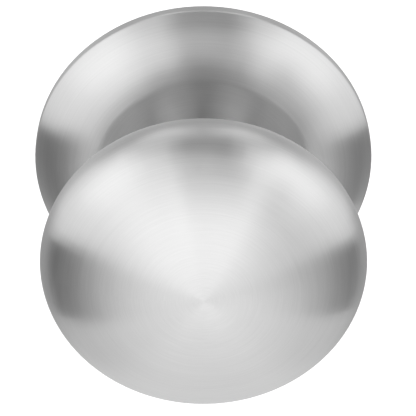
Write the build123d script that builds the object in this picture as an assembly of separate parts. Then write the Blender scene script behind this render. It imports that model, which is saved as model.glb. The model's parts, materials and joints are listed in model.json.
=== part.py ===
"""A round door knob on a domed rose, the outside half of a passage set.

It is modelled standing on its rose: the XY plane is the face of the door, +Z points out of the door along
the knob's axis and +Y is up the door. Every piece is turned into the row frame as it is written: there the
knob points along -Y and +Z is up. All sizes are in millimetres.
"""

from build123d import *
import math
import os

# Rose cover: a pressed dish with a short rim wall, a convex slope, a crease and a flat centre
ROSE_RADIUS = 33.0
ROSE_RIM_HEIGHT = 1.9
ROSE_RIM_ROUND = 0.7
ROSE_RIM_LEAST_ROUND = 0.2
ROSE_RIM_HALF_TURN_DEG = 21.0
ROSE_HEIGHT = 8.2
ROSE_FLAT_RADIUS = 21.0
ROSE_SLOPE_SAG = 1.2
ROSE_CREASE_ROUND = 5.0
ROSE_WALL = 1.0

# Knob: two pressed shells, each half of a flattened ball
KNOB_RADIUS = 29.8
KNOB_FRONT_DEPTH = 12.0
KNOB_BACK_DEPTH = 12.6
KNOB_WIDEST_AT = 39.7
KNOB_WALL = 1.0
KNOB_LIP = 3.0
KNOB_SEAM = 0.15
KNOB_TUCK = 1.6
NECK_WALL = 1.15
NECK_FILLET = 4.5

# Shank: the tube that carries the knob, stepped for its journals
SPINDLE_SIDE = 8.0
SPINDLE_BEHIND_DOOR_FACE = 42.0
SPINDLE_CHAMFER = 0.8
SHANK_CORNER_WALL = 0.57
SHANK_THREAD_STEP = 0.5
SHANK_JOURNAL_STEP = 0.6
SHANK_FLAT_DEPTH = 1.0
SHANK_TAIL = 3.0
SOCKET_DEPTH_PAST_CORE = 2.0

# Door interface
POST_SPACING = 38.1
POST_RADIUS = 3.5
POST_LENGTH = 30.0
POST_HEAD_RADIUS = 4.2
POST_HEAD_HEIGHT = 0.9
POST_THREAD_RADIUS = 1.65
POST_THREAD_DEPTH = 20.0

# Rose plate and the mechanism that is riveted to it
PLATE_INSET = 2.8
PLATE_THICKNESS = 1.6
CUP_WALL = 1.2
CUP_FLANGE = 1.0
FLANGE_LAND = 0.3
EAR_HALF_WIDTH = 10.5
EAR_REACH = 20.5
EAR_ROUND = 3.0
BEARING_PLATE_THICKNESS = 1.2
COLLAR_WALL = 1.2
BUSH_WALL = 1.3
BUSH_FLANGE = 0.4
BUSH_FLANGE_REACH = 1.0
REAR_BUSH_FLANGE = 0.8
RIVET_X = 7.6
RIVET_Y = 17.2
RIVET_RADIUS = 1.5
RIVET_HEAD_RADIUS = 2.6
RIVET_HEAD_HEIGHT = 1.1
RIVET_HEAD_ROUND = 0.77

# Return spring, its driver and the stops
TURN_LIMIT_DEG = 60.0
WIRE = 1.4
SPRING_TURNS = 4
COIL_GAP = 0.25
COIL_OVER_SHANK = 1.0
COIL_TO_TAB = 0.2
SPRING_LEG_SLACK_DEG = 1.0
SPRING_FRONT_GAP = 1.2
DRIVER_THICKNESS = 2.0
TAB_HALF_DEG = 11.5
TAB_THICKNESS = 1.2
LUG_HALF_DEG = 12.0
STOP_ARM_HALF_DEG = 12.0
STOP_ARM_GAP = 0.7
STOP_HALF_DEG = 8.0
STOP_SLACK_DEG = 0.6
STOP_REACH = 1.6

# Fasteners and small parts
RING_THICKNESS = 0.9
RING_DEPTH = 0.45
RING_REACH = 1.9
RING_MOUTH_DEG = 70.0
WASHER_THICKNESS = 0.5
WASHER_REACH = 2.4
CORE_HUB_RADIUS = 12.5
CORE_HUB_HEIGHT = 5.2
CORE_WEB_AT = 3.7
CORE_WEB = 1.5
CORE_HOLES = 6
CORE_HOLE_RADIUS = 2.6
CORE_HOLE_AT = 17.5
LOCK_WASHER_THICKNESS = 0.8
LOCK_WASHER_REACH = 3.1
LOCK_TEETH = 12
LOCK_NOTCH_DEPTH = 0.6
LOCK_NOTCH_WIDTH = 1.0
NUT_ACROSS_FLATS = 19.0
NUT_HEIGHT = 4.7
NUT_CHAMFER = 0.6
THREAD_PAST_NUT = 1.0
GRUB_RADIUS = 2.5
GRUB_AT = 15.0
GRUB_SUNK = 0.35
GRUB_SOCKET_ACROSS = 2.5
GRUB_SOCKET_DEPTH = 1.8
GRUB_CHAMFER = 0.3
TRIM_WALL = 0.7
TRIM_FLANGE_REACH = 1.2
TRIM_FLANGE_HEIGHT = 0.5
TRIM_CHAMFER = 0.3
CLIP_COUNT = 4
CLIP_FIRST_DEG = 45.0
CLIP_WIDTH = 8.0
CLIP_THICKNESS = 0.5
CLIP_FOOT = 5.0
CLIP_RIVET_INSET = 2.9
CLIP_DROP = 1.4
CLIP_RIVET_RADIUS = 1.2
CLIP_RIVET_HEAD_RADIUS = 2.0
CLIP_RIVET_HEAD_HEIGHT = 0.7

# Clearances
SLIP = 0.05
RUNNING = 0.06
END_PLAY = 0.1
COVER_OVER_NECK = 0.3
COVER_GAP = 0.4
CLIP_GAP = 0.3
LUG_GAP = 0.3
LEG_END_GAP = 0.3
POST_HEAD_GAP = 0.2

# How far a cutting shape runs past what it cuts, and how near two corners are to count as one
PAST = 1.0
SAME_PLACE = 0.001

# Radii that follow from the spindle outwards
socket_side = SPINDLE_SIDE + 2 * SLIP
thread_radius = socket_side / math.sqrt(2) + SHANK_CORNER_WALL
shank_neck_radius = thread_radius + SHANK_THREAD_STEP
rear_radius = shank_neck_radius
journal_radius = shank_neck_radius + SHANK_JOURNAL_STEP
neck_bore = shank_neck_radius + SLIP
neck_radius = neck_bore + NECK_WALL
trim_bore = neck_radius + COVER_OVER_NECK
cover_hole = trim_bore + TRIM_WALL
front_bush_radius = journal_radius + RUNNING + BUSH_WALL
rear_bush_radius = rear_radius + RUNNING + BUSH_WALL
coil_radius = journal_radius + COIL_OVER_SHANK + WIRE / 2
tab_inside = coil_radius + WIRE / 2 + COIL_TO_TAB
tab_outside = tab_inside + TAB_THICKNESS
lug_inside = tab_outside + LUG_GAP
cup_inside = lug_inside + STOP_REACH
cup_radius = cup_inside + CUP_WALL
plate_radius = ROSE_RADIUS - PLATE_INSET
clip_rivet_at = plate_radius - CLIP_RIVET_INSET

# Heights in front of the door's face
plate_front = PLATE_THICKNESS
flange_front = plate_front + CUP_FLANGE
bearing_front = flange_front + BEARING_PLATE_THICKNESS
bush_front = ROSE_HEIGHT - ROSE_WALL - COVER_GAP
collar_front = bush_front - BUSH_FLANGE
sleeve_end = ROSE_HEIGHT + COVER_GAP

# Heights behind it, from the spring back to the shank's end
leg_deg = TAB_HALF_DEG + SPRING_LEG_SLACK_DEG + math.degrees(math.asin(WIRE / 2 / tab_inside))
spring_pitch = WIRE + COIL_GAP
coil_height = spring_pitch * (SPRING_TURNS + 2 * leg_deg / 360)
spring_end = flange_front - SPRING_FRONT_GAP - WIRE / 2
spring_start = spring_end - coil_height
driver_front = spring_start - WIRE / 2 - END_PLAY
driver_back = driver_front - DRIVER_THICKNESS
rear_flange_front = driver_back - END_PLAY
cup_floor = rear_flange_front - REAR_BUSH_FLANGE
cup_back = cup_floor - CUP_WALL
washer_back = cup_back - SLIP - WASHER_THICKNESS
ring_front = washer_back - SLIP
ring_back = ring_front - RING_THICKNESS
shank_back = ring_front - SHANK_TAIL

# Heights inside the knob
inner_radius = KNOB_RADIUS - KNOB_WALL
inner_back_depth = KNOB_BACK_DEPTH - KNOB_WALL
core_back = KNOB_WIDEST_AT - inner_back_depth * math.sqrt(1 - (CORE_HUB_RADIUS / inner_radius) ** 2) + SLIP
core_front = core_back + CORE_HUB_HEIGHT
nut_back = core_front + LOCK_WASHER_THICKNESS
nut_front = nut_back + NUT_HEIGHT
shank_front = nut_front + THREAD_PAST_NUT
socket_front = core_back + SOCKET_DEPTH_PAST_CORE


def save(name, shape):
    """Turns a finished piece from the modelling frame into the row frame and writes its STEP file."""
    export_step(Rot(90, 0, 0) * shape, f"parts/{name}.step")


def spun(profile):
    """A solid of revolution about the knob's axis, from a flat profile of radius against height."""
    return revolve(Plane.XZ * profile, Axis.Z, 360)


def turned(points):
    """A solid of revolution from a closed outline of (radius, height) points."""
    return spun(make_face(Polyline(*points, close=True)))


def window(inside, outside, back, front):
    """A rectangle of a profile."""
    return Pos(inside, back) * Rectangle(outside - inside, front - back, align=(Align.MIN, Align.MIN))


def tube(inside, outside, back, front):
    """A plain tube or, with no inside radius, a disc."""
    return spun(window(inside, outside, back, front))


def bar(side, back, front):
    """A square bar about the knob's axis."""
    return Pos(0, 0, back) * Box(side, side, front - back, align=(Align.CENTER, Align.CENTER, Align.MIN))


def sector(inside, outside, back, front, middle_deg, half_deg):
    """A block of a ring that spans half_deg either side of middle_deg."""
    wedge = revolve(Plane.XZ * window(inside, outside, back, front), Axis.Z, 2 * half_deg)
    return Rot(0, 0, middle_deg - half_deg) * wedge


def around(count, radius, first_deg):
    """Places spaced evenly round the knob's axis."""
    return [Rot(0, 0, first_deg + 360 * n / count) * Pos(radius, 0, 0) for n in range(count)]


def quarter_oval(radius, depth):
    """A quarter of an ellipse, from the knob's widest circle to its axis, as a Bezier curve."""
    pull = 4 / 3 * (math.sqrt(2) - 1)
    widest = KNOB_WIDEST_AT
    end = widest + depth
    return Bezier((radius, widest), (radius, widest + pull * depth), (pull * radius, end), (0, end))


def egg(shrink):
    """Profile of the knob's flattened ball, with its surface moved inwards by shrink."""
    radius = KNOB_RADIUS - shrink
    front = KNOB_FRONT_DEPTH - shrink
    back = KNOB_BACK_DEPTH - shrink
    axis = Line((0, KNOB_WIDEST_AT + front), (0, KNOB_WIDEST_AT - back))
    return make_face(Curve() + [quarter_oval(radius, front), axis, quarter_oval(radius, -back)])


def neck_and_egg(shrink, neck, fillet_radius):
    """Profile of the flattened ball on its neck, with the corner between them rounded."""
    profile = egg(shrink) + window(0, neck, sleeve_end, KNOB_WIDEST_AT)
    on_neck = profile.vertices().filter_by(lambda corner: abs(corner.X - neck) < SAME_PLACE)
    return fillet(on_neck.sort_by(Axis.Y)[-1], fillet_radius)


def rose_cover():
    """Pressed dish: the slope is one convex arc, and the wall is the same thickness all over."""

    def dish(shrink):
        radius = ROSE_RADIUS - shrink
        top = ROSE_HEIGHT - shrink
        rim = ROSE_RIM_HEIGHT - shrink * math.tan(math.radians(ROSE_RIM_HALF_TURN_DEG))
        flat = ROSE_FLAT_RADIUS
        middle_r, middle_z = (radius + flat) / 2, (rim + top) / 2
        run, rise = radius - flat, top - rim
        length = math.hypot(run, rise)
        bulge = (middle_r + ROSE_SLOPE_SAG * rise / length, middle_z + ROSE_SLOPE_SAG * run / length)
        outline = Curve() + [
            Line((0, 0), (radius, 0)),
            Line((radius, 0), (radius, rim)),
            ThreePointArc((radius, rim), bulge, (flat, top)),
            Line((flat, top), (0, top)),
            Line((0, top), (0, 0)),
        ]
        profile = make_face(outline)
        shoulder = profile.vertices().sort_by(Axis.X)[-2:].sort_by(Axis.Y)[-1]
        profile = fillet(shoulder, max(ROSE_RIM_ROUND - shrink / 2, ROSE_RIM_LEAST_ROUND))
        crease = profile.vertices().sort_by(Axis.Y)[-2:].sort_by(Axis.X)[-1]
        return fillet(crease, ROSE_CREASE_ROUND)

    hole = window(0, cover_hole, 0, ROSE_HEIGHT + PAST)
    return spun(dish(0) - dish(ROSE_WALL) - hole)


def trim_ring():
    """Ring pressed into the cover's hole, with a thin flange outside."""
    bore = trim_bore
    outside = cover_hole
    back = ROSE_HEIGHT - ROSE_WALL
    front = ROSE_HEIGHT + TRIM_FLANGE_HEIGHT
    flange = outside + TRIM_FLANGE_REACH
    return turned([
        (bore, back), (outside, back), (outside, ROSE_HEIGHT), (flange, ROSE_HEIGHT),
        (flange, front - TRIM_CHAMFER), (flange - TRIM_CHAMFER, front), (bore, front),
    ])


def knob_face():
    """Front shell, down past the widest circle to the end of its lip."""
    front = KNOB_WIDEST_AT + KNOB_FRONT_DEPTH + PAST
    kept = window(0, KNOB_RADIUS + PAST, KNOB_WIDEST_AT - KNOB_LIP, front)
    return spun((egg(0) - egg(KNOB_WALL)) & kept)


def knob_back():
    """Back shell with its neck, and a band that tucks inside the front shell's lip."""
    seam = KNOB_WIDEST_AT - KNOB_LIP - KNOB_SEAM
    outside = neck_and_egg(0, neck_radius, NECK_FILLET)
    inside = neck_and_egg(KNOB_WALL, neck_bore, NECK_FILLET + KNOB_WALL)
    shell = (outside - inside) & window(0, KNOB_RADIUS + PAST, sleeve_end, seam)
    under_seam = (egg(KNOB_WALL) - egg(2 * KNOB_WALL)) & window(0, KNOB_RADIUS, seam - KNOB_TUCK, seam)
    inside_lip = (egg(KNOB_WALL + SLIP) - egg(2 * KNOB_WALL)) & window(0, KNOB_RADIUS, seam, KNOB_WIDEST_AT)
    return spun(shell + under_seam + inside_lip) - grub_hole()


def grub_hole():
    """Threaded hole from below, through the neck to the spindle."""
    return Pos(0, 0, GRUB_AT) * Rot(90, 0, 0) * Cylinder(
        GRUB_RADIUS, neck_radius + PAST, align=(Align.CENTER, Align.CENTER, Align.MIN)
    )


def grub_screw():
    """Socket set screw that bears on the spindle from below."""
    bottom = neck_radius - GRUB_SUNK
    length = bottom - SPINDLE_SIDE / 2
    screw = Cylinder(GRUB_RADIUS - SLIP / 2, length, align=(Align.CENTER, Align.CENTER, Align.MAX))
    screw = chamfer(screw.edges().filter_by(GeomType.CIRCLE), GRUB_CHAMFER)
    socket = extrude(RegularPolygon(GRUB_SOCKET_ACROSS / 2, 6, major_radius=False), -GRUB_SOCKET_DEPTH)
    return Pos(0, -bottom, GRUB_AT) * Rot(90, 0, 0) * (screw - socket)


def shank():
    """Stepped tube: thread, neck, front journal, flats for the driver, rear journal and ring groove."""
    groove = rear_radius - RING_DEPTH
    body = turned([
        (0, shank_back), (rear_radius, shank_back), (rear_radius, ring_back - SLIP / 2),
        (groove, ring_back - SLIP / 2), (groove, ring_front + SLIP / 2),
        (rear_radius, ring_front + SLIP / 2), (rear_radius, driver_back),
        (journal_radius, driver_back), (journal_radius, sleeve_end),
        (shank_neck_radius, sleeve_end), (shank_neck_radius, core_front - END_PLAY),
        (thread_radius, core_front - END_PLAY), (thread_radius, shank_front), (0, shank_front),
    ])
    return (body & flats(0)) - bar(socket_side, shank_back - PAST, socket_front) - grub_hole()


def flats(clearance):
    """What a shaft with two flats over the driver's thickness is kept to; clearance moves the flats out."""
    half = journal_radius - SHANK_FLAT_DEPTH + clearance
    band = bar(2 * journal_radius + 2 * PAST, driver_back, driver_front)
    whole = bar(2 * journal_radius + 2 * PAST, shank_back - PAST, shank_front + PAST)
    return whole - (band - Box(2 * half, 4 * journal_radius, 4 * abs(cup_back)))


def spindle():
    """Square bar through the door, chamfered at both ends."""
    rod = bar(SPINDLE_SIDE, -SPINDLE_BEHIND_DOOR_FACE, socket_front - END_PLAY)
    ends = rod.faces().sort_by(Axis.Z)
    return chamfer(ends[0].edges() + ends[-1].edges(), SPINDLE_CHAMFER)


def knob_core():
    """Pressed stiffener inside the knob: a hub on the shank and a pierced web out to the back shell."""
    web_back = core_back + CORE_WEB_AT
    rise = (KNOB_WIDEST_AT - web_back) / inner_back_depth
    web_radius = inner_radius * math.sqrt(1 - rise**2) - SLIP
    bore = neck_bore
    hub = tube(bore, CORE_HUB_RADIUS, core_back, core_front)
    web = tube(bore, web_radius, web_back, web_back + CORE_WEB)
    core = hub + web
    for place in around(CORE_HOLES, CORE_HOLE_AT, 0):
        core -= place * tube(0, CORE_HOLE_RADIUS, web_back - PAST, web_back + CORE_WEB + PAST)
    return core


def lock_washer():
    """Toothed washer under the nut."""
    bore = thread_radius + END_PLAY
    outside = bore + LOCK_WASHER_REACH
    washer = tube(bore, outside, core_front, nut_back)
    notch = Box(2 * LOCK_NOTCH_DEPTH, LOCK_NOTCH_WIDTH, 4 * LOCK_WASHER_THICKNESS)
    for place in around(LOCK_TEETH, outside, 0):
        washer -= place * Pos(0, 0, core_front) * notch
    return washer


def shank_nut():
    """Thin hexagon nut on the shank's threaded end."""
    hexagon = RegularPolygon(NUT_ACROSS_FLATS / 2, 6, major_radius=False)
    nut = Pos(0, 0, nut_back) * extrude(hexagon, NUT_HEIGHT)
    corner = NUT_ACROSS_FLATS / math.sqrt(3)
    cone = turned([
        (0, nut_back), (corner, nut_back), (corner, nut_front - NUT_CHAMFER),
        (corner - 2 * NUT_CHAMFER, nut_front), (0, nut_front),
    ])
    return (nut & cone) - tube(0, thread_radius + SLIP, nut_back - PAST, nut_front + PAST)


def rose_plate():
    """Steel plate against the door, with a hole for the spring cup and holes for the posts and rivets."""
    plate = tube(cup_radius + SLIP, plate_radius, 0, plate_front)
    for place in post_places():
        plate -= place * tube(0, POST_RADIUS, -PAST, plate_front + PAST)
    for place in mechanism_rivet_places():
        plate -= place * tube(0, RIVET_RADIUS, -PAST, plate_front + PAST)
    for place in around(CLIP_COUNT, clip_rivet_at, CLIP_FIRST_DEG):
        plate -= place * tube(0, CLIP_RIVET_RADIUS, -PAST, plate_front + PAST)
    return plate


def post_places():
    """The two fixing posts, either side of the cup."""
    return [Pos(x, 0, 0) for x in (-POST_SPACING / 2, POST_SPACING / 2)]


def mechanism_rivet_places():
    """The four rivets, in the ears above and below the cup."""
    return [Pos(x, y, 0) for x in (-RIVET_X, RIVET_X) for y in (-RIVET_Y, RIVET_Y)]


def eared_plate(back, front):
    """A disc a little wider than the cup with a square ear above and below, and its rivet holes."""
    ears = RectangleRounded(2 * EAR_HALF_WIDTH, 2 * EAR_REACH, EAR_ROUND)
    blank = Circle(cup_radius + FLANGE_LAND) + ears
    plate = Pos(0, 0, back) * extrude(blank, front - back)
    for place in mechanism_rivet_places():
        plate -= place * tube(0, RIVET_RADIUS, back - PAST, front + PAST)
    for place in post_places():
        plate -= place * tube(0, POST_HEAD_RADIUS + POST_HEAD_GAP, back - PAST, front + PAST)
    return plate


def spring_cup():
    """Deep pressed cup behind the plate, with the spring's lug and the driver's two end stops inside."""
    cup = tube(0, cup_radius, cup_back, plate_front) + eared_plate(plate_front, flange_front)
    cup -= tube(0, cup_inside, cup_floor, flange_front + PAST)
    cup -= tube(0, rear_bush_radius, cup_back - PAST, 0)
    in_wall = cup_inside + CUP_WALL / 2
    cup += sector(lug_inside, in_wall, driver_front + END_PLAY, plate_front, 90, LUG_HALF_DEG)
    for side in (-1, 1):
        middle = 270 + side * (TURN_LIMIT_DEG + STOP_ARM_HALF_DEG + STOP_HALF_DEG + STOP_SLACK_DEG)
        cup += sector(lug_inside, in_wall, cup_floor, driver_front, middle, STOP_HALF_DEG)
    return cup


def bearing_plate():
    """Front plate of the mechanism, with the collar that holds the front bush."""
    collar = front_bush_radius + COLLAR_WALL
    plate = eared_plate(flange_front, bearing_front) + tube(0, collar, flange_front, collar_front)
    return plate - tube(0, front_bush_radius, flange_front - PAST, collar_front + PAST)


def front_bush():
    """Flanged nylon bush in the bearing plate's collar."""
    bore = journal_radius + RUNNING
    outside = front_bush_radius
    flange = outside + BUSH_FLANGE_REACH
    front = bush_front
    return turned([
        (bore, flange_front), (outside, flange_front), (outside, collar_front),
        (flange, collar_front), (flange, front), (bore, front),
    ])


def rear_bush():
    """Flanged nylon bush in the cup's floor, flange inside."""
    bore = rear_radius + RUNNING
    outside = rear_bush_radius
    flange = outside + BUSH_FLANGE_REACH
    front = rear_flange_front
    return turned([
        (bore, cup_back), (outside, cup_back), (outside, cup_floor),
        (flange, cup_floor), (flange, front), (bore, front),
    ])


def driver():
    """Cam plate keyed to the shank: its tab winds the spring and its arm meets the end stops."""
    disc = tube(0, tab_inside, driver_back, driver_front)
    arm_end = cup_inside - STOP_ARM_GAP
    disc += sector(rear_radius, arm_end, driver_back, driver_front, 270, STOP_ARM_HALF_DEG)
    disc += sector(rear_radius, tab_outside, driver_back, driver_front, 90, TAB_HALF_DEG)
    disc += sector(tab_inside, tab_outside, driver_front, plate_front - END_PLAY, 90, TAB_HALF_DEG)
    hole = tube(0, journal_radius + SLIP, driver_back - PAST, driver_front + PAST) & flats(SLIP)
    return disc - hole


def return_spring():
    """Torsion spring of round wire: a coil and two legs that stand out either side of the top."""
    line = Rot(0, 0, 90 + leg_deg) * Helix(
        spring_pitch, coil_height, coil_radius, center=(0, 0, spring_start), lefthand=True
    )
    section = Plane(origin=line @ 0, z_dir=line % 0) * Circle(WIRE / 2)
    spring = sweep(section, path=line)
    leg_length = cup_inside - LEG_END_GAP - coil_radius
    for angle, height in ((90 + leg_deg, spring_start), (90 - leg_deg, spring_end)):
        place = Rot(0, 0, angle) * Pos(coil_radius, 0, height)
        leg = Rot(0, 90, 0) * Cylinder(WIRE / 2, leg_length, align=(Align.CENTER, Align.CENTER, Align.MIN))
        spring += place * (leg + Sphere(WIRE / 2))
    return spring


def thrust_washer():
    """Plain washer between the cup and the retaining ring."""
    bore = rear_radius + END_PLAY
    return tube(bore, bore + WASHER_REACH, washer_back, cup_back - SLIP)


def retaining_ring():
    """Open ring that snaps into the shank's groove."""
    bore = rear_radius - RING_DEPTH + SLIP / 2
    outside = rear_radius + RING_REACH
    ring = tube(bore, outside, ring_back, ring_front)
    mouth = sector(bore / 2, outside + PAST, ring_back - PAST, ring_front + PAST, 270, RING_MOUTH_DEG / 2)
    return ring - mouth


def fixing_posts():
    """Two posts headed in front of the plate and threaded from behind, for the other side's screws."""
    post = tube(0, POST_RADIUS, -POST_LENGTH, plate_front) + tube(
        0, POST_HEAD_RADIUS, plate_front, plate_front + POST_HEAD_HEIGHT
    )
    post -= tube(0, POST_THREAD_RADIUS, -POST_LENGTH - PAST, POST_THREAD_DEPTH - POST_LENGTH)
    return Compound([place * post for place in post_places()])


def mechanism_rivets():
    """Rivets through the plate, the cup's ears and the bearing plate, flush with the plate's back."""
    rivet = tube(0, RIVET_RADIUS, 0, bearing_front) + tube(
        0, RIVET_HEAD_RADIUS, bearing_front, bearing_front + RIVET_HEAD_HEIGHT
    )
    rim = rivet.edges().filter_by(GeomType.CIRCLE).sort_by(Axis.Z)[-1]
    rivet = fillet(rim, RIVET_HEAD_ROUND)
    return Compound([place * rivet for place in mechanism_rivet_places()])


def cover_clips():
    """Spring clips on the plate's rim: each foot is riveted down, its nose is against the cover's wall."""
    nose = math.sqrt((ROSE_RADIUS - ROSE_WALL - CLIP_GAP) ** 2 - (CLIP_WIDTH / 2) ** 2)
    foot_in = plate_radius - CLIP_FOOT
    edge = plate_radius + SLIP
    top = plate_front + CLIP_THICKNESS
    low = plate_front - CLIP_DROP
    outline = Polyline(
        (foot_in, plate_front), (edge, plate_front), (nose - CLIP_THICKNESS, (plate_front + low) / 2),
        (edge, low), (edge + CLIP_THICKNESS, low), (nose, (plate_front + low) / 2),
        (edge + CLIP_THICKNESS / 2, top), (foot_in, top), close=True,
    )
    clip = extrude(Plane.XZ * make_face(outline), CLIP_WIDTH / 2, both=True)
    clip -= Pos(clip_rivet_at, 0, 0) * tube(0, CLIP_RIVET_RADIUS, 0, top + PAST)
    return Compound([place * clip for place in around(CLIP_COUNT, 0, CLIP_FIRST_DEG)])


def clip_rivets():
    """One small rivet through each clip's foot."""
    seat = plate_front + CLIP_THICKNESS
    rivet = tube(0, CLIP_RIVET_RADIUS, 0, seat) + tube(
        0, CLIP_RIVET_HEAD_RADIUS, seat, seat + CLIP_RIVET_HEAD_HEIGHT
    )
    return Compound([place * rivet for place in around(CLIP_COUNT, clip_rivet_at, CLIP_FIRST_DEG)])


PIECES = [
    rose_cover, trim_ring, knob_face, knob_back, knob_core, lock_washer, shank_nut, shank, spindle,
    grub_screw, driver, retaining_ring, thrust_washer, return_spring, rose_plate, spring_cup, bearing_plate,
    front_bush, rear_bush, fixing_posts, mechanism_rivets, cover_clips, clip_rivets,
]

os.makedirs("parts", exist_ok=True)
for piece in PIECES:
    save(piece.__name__, piece())
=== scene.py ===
"""Looks of a satin stainless steel door knob on a domed rose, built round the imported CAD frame."""

import json
import math

import bpy
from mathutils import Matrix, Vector


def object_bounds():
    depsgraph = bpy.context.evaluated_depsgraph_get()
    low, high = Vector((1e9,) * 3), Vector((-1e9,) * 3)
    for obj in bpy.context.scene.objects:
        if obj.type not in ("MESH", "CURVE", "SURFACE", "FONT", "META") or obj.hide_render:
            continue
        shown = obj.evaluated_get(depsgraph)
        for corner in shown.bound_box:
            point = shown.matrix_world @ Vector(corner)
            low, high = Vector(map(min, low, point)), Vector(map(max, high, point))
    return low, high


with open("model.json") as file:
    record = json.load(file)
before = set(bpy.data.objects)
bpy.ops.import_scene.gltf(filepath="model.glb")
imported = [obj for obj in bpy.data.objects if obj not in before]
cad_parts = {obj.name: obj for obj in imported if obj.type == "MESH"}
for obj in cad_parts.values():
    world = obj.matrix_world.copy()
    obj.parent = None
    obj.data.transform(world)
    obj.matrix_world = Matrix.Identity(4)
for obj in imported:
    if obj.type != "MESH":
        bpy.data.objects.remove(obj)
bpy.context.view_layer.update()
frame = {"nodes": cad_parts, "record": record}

MM = 0.001

# The camera stands in front of the door and above the knob, and looks down on it
CAMERA_ELEVATION_DEG = 31.06
CAMERA_AZIMUTH_DEG = -0.15
CAMERA_DISTANCE = 0.455
CAMERA_DROP = 0.010
CAMERA_SIDE = 0.0009
CAMERA_LENS = 200.0
CAMERA_NEAR = 0.01

FLOOR_DROP = 0.30
FLOOR_SIZE = 8.0
FLOOR_GREY = 0.9
FLOOR_ROUGHNESS = 0.9
FLOOR_GLOW = 0.6

# Brushed steel: noise scales are per metre, a share is how much a noise counts in the mix, a spread is how
# far the roughness goes either way, and a shade is the darkest grain's brightness against the lightest.
# The turn is how far a radian round a ring moves the grain, in metres, and the radial brush is the quarter
# turn from the tangent that lays the smear across the rings.
RING_FINE, RING_FINE_SHARE = 4500.0, 0.7
RING_BROAD, RING_BROAD_SHARE = 600.0, 0.3
RING_TURN = 0.0004
RING_DEPTH = 0.006 * MM
RING_SPREAD = 0.04
RING_SHADE = 0.8
CLOUD, CLOUD_SHARE = 60.0, 0.3
SHADE_RANGE = 0.8
RADIAL_BRUSH = 0.25

# Plain worked steel
WORKED_SPREAD = (0.1, 0.12)
WORKED_SHADE = 0.7
STAIN_PER_GRAIN = 0.08
STAIN_SHARE, GRAIN_SHARE = 0.6, 0.5

# Zinc plate
CRYSTALS, CRYSTAL_SHARE = 450.0, 0.35
ZINC_CLOUD, ZINC_CLOUD_SHARE = 90.0, 0.5
ZINC_GRAIN, ZINC_GRAIN_SHARE = 2200.0, 0.2
ZINC_DEPTH = 0.006 * MM
ZINC_SPREAD = (0.08, 0.1)
ZINC_SHADE = 0.68

# Nylon
NYLON_GRAIN = 3000.0
NYLON_DEPTH = 0.01 * MM
NYLON_ROUGHNESS = (0.42, 0.55)
NYLON_SHADE = 0.94
NYLON_GLOW_SHARE = 0.15
NYLON_GLOW_DEPTH = 0.5 * MM


def direction(azimuth_deg, elevation_deg):
    """Unit vector from the knob; azimuth 0 is straight out of the door, positive to the right."""
    azimuth, elevation = math.radians(azimuth_deg), math.radians(elevation_deg)
    flat = math.cos(elevation)
    return Vector((flat * math.sin(azimuth), -flat * math.cos(azimuth), math.sin(elevation)))


def add_camera():
    data = bpy.data.cameras.new("camera")
    data.lens = CAMERA_LENS
    data.clip_start = CAMERA_NEAR
    camera = bpy.data.objects.new("camera", data)
    bpy.context.collection.objects.link(camera)
    towards = direction(CAMERA_AZIMUTH_DEG, CAMERA_ELEVATION_DEG)
    up = Vector((0, towards.z, -towards.y))
    camera.location = towards * CAMERA_DISTANCE - up * CAMERA_DROP + Vector((CAMERA_SIDE, 0, 0))
    camera.rotation_euler = (-towards).to_track_quat("-Z", "Y").to_euler()
    bpy.context.scene.camera = camera


def add_floor():
    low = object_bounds()[0][2] - FLOOR_DROP
    bpy.ops.mesh.primitive_plane_add(size=FLOOR_SIZE, location=(0, 0, low))
    floor = bpy.context.object
    floor.name = "floor"
    material = bpy.data.materials.new("floor_pale")
    material.use_nodes = True
    shader = material.node_tree.nodes["Principled BSDF"]
    shader.inputs["Base Color"].default_value = (FLOOR_GREY, FLOOR_GREY, FLOOR_GREY, 1)
    shader.inputs["Roughness"].default_value = FLOOR_ROUGHNESS
    shader.inputs["Emission Color"].default_value = (1, 1, 1, 1)
    shader.inputs["Emission Strength"].default_value = FLOOR_GLOW
    floor.data.materials.append(material)
    floor.visible_glossy = False


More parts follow.
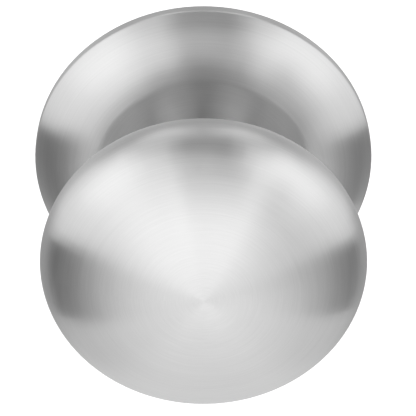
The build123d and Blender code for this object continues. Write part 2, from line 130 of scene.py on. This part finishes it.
class Nodes:
    """Small helper that builds a material's node tree."""

    def __init__(self, name):
        self.material = bpy.data.materials.new(name)
        self.material.use_nodes = True
        self.tree = self.material.node_tree
        self.shader = self.tree.nodes["Principled BSDF"]

    def add(self, kind, **settings):
        node = self.tree.nodes.new(kind)
        for key, value in settings.items():
            setattr(node, key, value)
        return node

    def link(self, source, target):
        self.tree.links.new(source, target)

    def math(self, operation, first, second=None):
        node = self.add("ShaderNodeMath", operation=operation)
        for socket, value in zip(node.inputs, (first, second)):
            if value is None:
                continue
            if isinstance(value, (int, float)):
                socket.default_value = value
            else:
                self.link(value, socket)
        return node.outputs[0]

    def combine(self, x, y, z):
        node = self.add("ShaderNodeCombineXYZ")
        for socket, value in zip(node.inputs, (x, y, z)):
            if isinstance(value, (int, float)):
                socket.default_value = value
            else:
                self.link(value, socket)
        return node.outputs[0]

    def noise(self, vector, scale, detail=2.0):
        node = self.add("ShaderNodeTexNoise")
        node.inputs["Scale"].default_value = scale
        node.inputs["Detail"].default_value = detail
        self.link(vector, node.inputs["Vector"])
        return node.outputs["Fac"]

    def spread(self, value, low, high):
        node = self.add("ShaderNodeMapRange")
        node.inputs["To Min"].default_value = low
        node.inputs["To Max"].default_value = high
        self.link(value, node.inputs["Value"])
        return node.outputs["Result"]

    def mix(self, shares):
        """Sum of values, each times its share."""
        total = None
        for value, share in shares:
            part = self.math("MULTIPLY", value, share)
            total = part if total is None else self.math("ADD", total, part)
        return total

    def paint(self, value, low_colour, high_colour):
        """Base colour from low_colour to high_colour as the value goes from 0 to 1."""
        node = self.add("ShaderNodeMix", data_type="RGBA")
        self.link(value, node.inputs["Factor"])
        for socket, colour in (("A", low_colour), ("B", high_colour)):
            node.inputs[socket].default_value = (*colour, 1)
        self.link(node.outputs["Result"], self.shader.inputs["Base Color"])

    def roughen(self, value, smoothest, roughest):
        self.link(self.spread(value, smoothest, roughest), self.shader.inputs["Roughness"])

    def make_metal(self):
        self.shader.inputs["Metallic"].default_value = 1.0

    def place(self):
        return self.add("ShaderNodeTexCoord").outputs["Object"]

    def bump(self, height, distance):
        node = self.add("ShaderNodeBump")
        node.inputs["Distance"].default_value = distance
        self.link(height, node.inputs["Height"])
        self.link(node.outputs["Normal"], self.shader.inputs["Normal"])

    def around_axis(self):
        """Radius from the knob's axis, distance along it, and angle round it, in the node's own frame."""
        split = self.add("ShaderNodeSeparateXYZ")
        self.link(self.place(), split.inputs[0])
        x, y, z = split.outputs
        squares = [self.math("MULTIPLY", side, side) for side in (x, z)]
        radius = self.math("SQRT", self.math("ADD", *squares))
        return radius, y, self.math("ARCTAN2", z, x)


def darker(colour, shade):
    return [channel * shade for channel in colour]


def spun_steel(name, colour, roughness, anisotropy):
    """Stainless steel brushed on a lathe: fine rings round the axis, which smear reflections outwards."""
    made = Nodes(name)
    radius, along, angle = made.around_axis()
    rings = made.combine(radius, along, made.math("MULTIPLY", angle, RING_TURN))
    fine = made.noise(rings, RING_FINE)
    broad = made.noise(rings, RING_BROAD)
    cloud = made.noise(made.place(), CLOUD, detail=3.0)
    mixed = made.mix([(fine, RING_FINE_SHARE), (broad, RING_BROAD_SHARE)])
    made.roughen(mixed, roughness - RING_SPREAD, roughness + RING_SPREAD)
    clouded = made.math("ADD", made.math("MULTIPLY", cloud, CLOUD_SHARE), mixed)
    made.paint(made.spread(clouded, 0.0, SHADE_RANGE), darker(colour, RING_SHADE), colour)
    made.bump(mixed, RING_DEPTH)
    made.make_metal()
    made.shader.inputs["Anisotropic"].default_value = anisotropy
    made.shader.inputs["Anisotropic Rotation"].default_value = RADIAL_BRUSH
    tangent = made.add("ShaderNodeTangent", direction_type="RADIAL", axis="Y")
    made.link(tangent.outputs[0], made.shader.inputs["Tangent"])
    return made.material


def plain_metal(name, colour, roughness, grain_scale, depth, along=1.0):
    """Worked steel with faint stains; its grain is drawn out along the axis where along is below 1."""
    made = Nodes(name)
    drawn = made.add("ShaderNodeVectorMath", operation="MULTIPLY")
    drawn.inputs[1].default_value = (1, along, 1)
    made.link(made.place(), drawn.inputs[0])
    grain = made.noise(drawn.outputs[0], grain_scale, detail=4.0)
    stain = made.noise(made.place(), grain_scale * STAIN_PER_GRAIN, detail=3.0)
    smoother, rougher = WORKED_SPREAD
    made.roughen(grain, roughness - smoother, roughness + rougher)
    made.paint(made.mix([(stain, STAIN_SHARE), (grain, GRAIN_SHARE)]), darker(colour, WORKED_SHADE), colour)
    made.bump(grain, depth)
    made.make_metal()
    return made.material


def zinc_plate(name, colour, roughness):
    """Pressed sheet steel, bright zinc plated: faint crystals a few millimetres across and fine grain."""
    made = Nodes(name)
    crystals = made.add("ShaderNodeTexVoronoi", feature="F1")
    crystals.inputs["Scale"].default_value = CRYSTALS
    made.link(made.place(), crystals.inputs["Vector"])
    split = made.add("ShaderNodeSeparateXYZ")
    made.link(crystals.outputs["Color"], split.inputs[0])
    grain = made.noise(made.place(), ZINC_GRAIN, detail=3.0)
    cloud = made.noise(made.place(), ZINC_CLOUD, detail=3.0)
    crystal = split.outputs[0]
    shade = made.mix([(crystal, CRYSTAL_SHARE), (cloud, ZINC_CLOUD_SHARE), (grain, ZINC_GRAIN_SHARE)])
    made.paint(shade, darker(colour, ZINC_SHADE), colour)
    smoother, rougher = ZINC_SPREAD
    made.roughen(shade, roughness - smoother, roughness + rougher)
    made.bump(grain, ZINC_DEPTH)
    made.make_metal()
    return made.material


def nylon(name, colour):
    """Moulded nylon: a fine matt skin that lets a little light in."""
    made = Nodes(name)
    grain = made.noise(made.place(), NYLON_GRAIN)
    made.paint(grain, darker(colour, NYLON_SHADE), colour)
    made.roughen(grain, *NYLON_ROUGHNESS)
    made.bump(grain, NYLON_DEPTH)
    made.shader.inputs["Subsurface Weight"].default_value = NYLON_GLOW_SHARE
    made.shader.inputs["Subsurface Scale"].default_value = NYLON_GLOW_DEPTH
    return made.material


STEEL = (0.72, 0.72, 0.72)
TRIM_STEEL = (0.62, 0.6, 0.58)
TURNED_STEEL = (0.58, 0.57, 0.55)
BAR_STEEL = (0.56, 0.55, 0.53)
SPRING_STEEL = (0.34, 0.32, 0.3)
RIVET_STEEL = (0.55, 0.55, 0.54)
BLACK_STEEL = (0.06, 0.06, 0.065)
ZINC = (0.72, 0.74, 0.77)
NYLON = (0.82, 0.81, 0.76)

# Roughness and anisotropy, of the knob and rose and of what is only turned. In the calls below, plate takes
# its roughness, and worked steel its roughness, the scale of its grain and the depth of it.
SATIN, TURNED = (0.3, 0.93), (0.3, 0.5)

SLOT_MATERIALS = {
    "spun_knob": spun_steel("spun_knob", STEEL, *SATIN),
    "spun_rose": spun_steel("spun_rose", STEEL, *SATIN),
    "trim": spun_steel("trim", TRIM_STEEL, *TURNED),
    "pressed_steel": zinc_plate("pressed_steel", ZINC, 0.3),
    "turned_steel": spun_steel("turned_steel", TURNED_STEEL, *TURNED),
    "bar_steel": plain_metal("bar_steel", BAR_STEEL, 0.36, 2500.0, 0.012 * MM, along=0.02),
    "spring_steel": plain_metal("spring_steel", SPRING_STEEL, 0.3, 1200.0, 0.006 * MM),
    "rivet_steel": plain_metal("rivet_steel", RIVET_STEEL, 0.3, 900.0, 0.01 * MM),
    "black_steel": plain_metal("black_steel", BLACK_STEEL, 0.4, 1500.0, 0.01 * MM),
    "nylon": nylon("nylon", NYLON),
}


def dress_cad_nodes():
    """Gives every carried-over CAD node its slot's material."""
    for subpart in frame["record"]["subparts"]:
        node = frame["nodes"][subpart["node"]]
        node.data.materials.clear()
        node.data.materials.append(SLOT_MATERIALS[subpart["material_slot"]])


# The studio: a pale light tent, brightest in front and below, with an open slot overhead and a dark
# card low down on either side. Each panel is lowest and highest azimuth, lowest and highest elevation,
# softness of its edge (all in degrees) and brightness, and covers the ones before it. The panels were
# drawn over a fit of the photograph's light, follow it closely, and were then adjusted.
TENT_BRIGHTNESS = 0.66
PANELS = [
    # below, all round
    (-200, 200, -110, -52, 22, 0.97),
    # behind, on the left and the right: low, middle and high
    (-200, -110, -52, -5, 20, 0.5),
    (110, 200, -52, -5, 20, 0.5),
    (-200, -115, 22, 52, 16, 0.45),
    (115, 200, 22, 52, 16, 0.45),
    (-155, -105, 50, 110, 12, 1.1),
    (105, 155, 50, 110, 12, 1.1),
    # the front, with a brighter part on the left and the right
    (-114, 114, -4, 30, 12, 0.95),
    (-92, 92, -14, 48, 10, 1.12),
    (-74, -34, 7, 38, 16, 1.55),
    (28, 72, 5, 40, 18, 1.6),
    # low on the left and the right: a grey band, and the dark cards
    (-110, -40, -68, -42, 14, 0.7),
    (45, 110, -68, -38, 14, 0.76),
    (-97, -42, -47, -14, 2, 0.12),
    (50, 98, -45, -15, 2, 0.18),
    # straight ahead and low: a bright strip with its core
    (-36, 36, -56, -34, 12, 0.88),
    (-23, 21, -38, 6, 8, 1.5),
    (-11, 11, -12, 12, 8, 1.8),
    # dimmer patches right of that strip and above it
    (20, 38, -28, 18, 12, 0.48),
    (-10, 21, 11, 28, 7, 0.32),
    (8, 21, 38, 50, 6, 0.75),
    # the open slot overhead, and the tent above it
    (-30, 38, 47, 70, 3, 0.0),
    (-90, 90, 71, 110, 8, 0.55),
]
BACKDROP = 1.0
FULL_CIRCLE_DEG = 360


class WorldNodes:
    """Small helper that builds the studio's node tree."""

    def __init__(self, tree):
        self.tree = tree

    def value(self, operation, *inputs):
        node = self.tree.nodes.new("ShaderNodeMath")
        node.operation = operation
        for socket, given in zip(node.inputs, inputs):
            if isinstance(given, (int, float)):
                socket.default_value = given
            else:
                self.tree.links.new(given, socket)
        return node.outputs[0]

    def blend(self, under, over, mask):
        return self.value("ADD", under, self.value("MULTIPLY", mask, self.value("SUBTRACT", over, under)))

    def step(self, angle, edge, softness):
        """0 below the edge and 1 above it, with a soft change between."""
        node = self.tree.nodes.new("ShaderNodeMapRange")
        node.interpolation_type = "SMOOTHSTEP"
        node.inputs["From Min"].default_value = math.radians(edge - softness / 2)
        node.inputs["From Max"].default_value = math.radians(edge + softness / 2)
        self.tree.links.new(angle, node.inputs["Value"])
        return node.outputs["Result"]

    def between(self, angle, low, high, softness):
        rising = self.step(angle, low, softness)
        falling = self.step(angle, high, softness)
        return self.value("SUBTRACT", rising, falling)


def add_world():
    world = bpy.data.worlds.new("studio")
    world.use_nodes = True
    tree = world.node_tree
    made = WorldNodes(tree)
    split = tree.nodes.new("ShaderNodeSeparateXYZ")
    tree.links.new(tree.nodes.new("ShaderNodeTexCoord").outputs["Generated"], split.inputs[0])
    x, y, z = split.outputs
    azimuth = made.value("ARCTAN2", x, made.value("MULTIPLY", y, -1.0))
    elevation = made.value("ARCSINE", z)
    light = TENT_BRIGHTNESS
    for az_low, az_high, el_low, el_high, softness, brightness in PANELS:
        mask = made.between(elevation, el_low, el_high, softness)
        if az_high - az_low < FULL_CIRCLE_DEG:
            mask = made.value("MULTIPLY", mask, made.between(azimuth, az_low, az_high, softness))
        light = made.blend(light, brightness, mask)
    seen = tree.nodes.new("ShaderNodeLightPath").outputs["Is Camera Ray"]
    tree.links.new(made.blend(light, BACKDROP, seen), tree.nodes["Background"].inputs["Strength"])
    tree.nodes["Background"].inputs["Color"].default_value = (1, 1, 1, 1)
    bpy.context.scene.world = world


add_camera()
add_floor()
add_world()
bpy.context.scene.view_settings.view_transform = "Standard"
dress_cad_nodes()
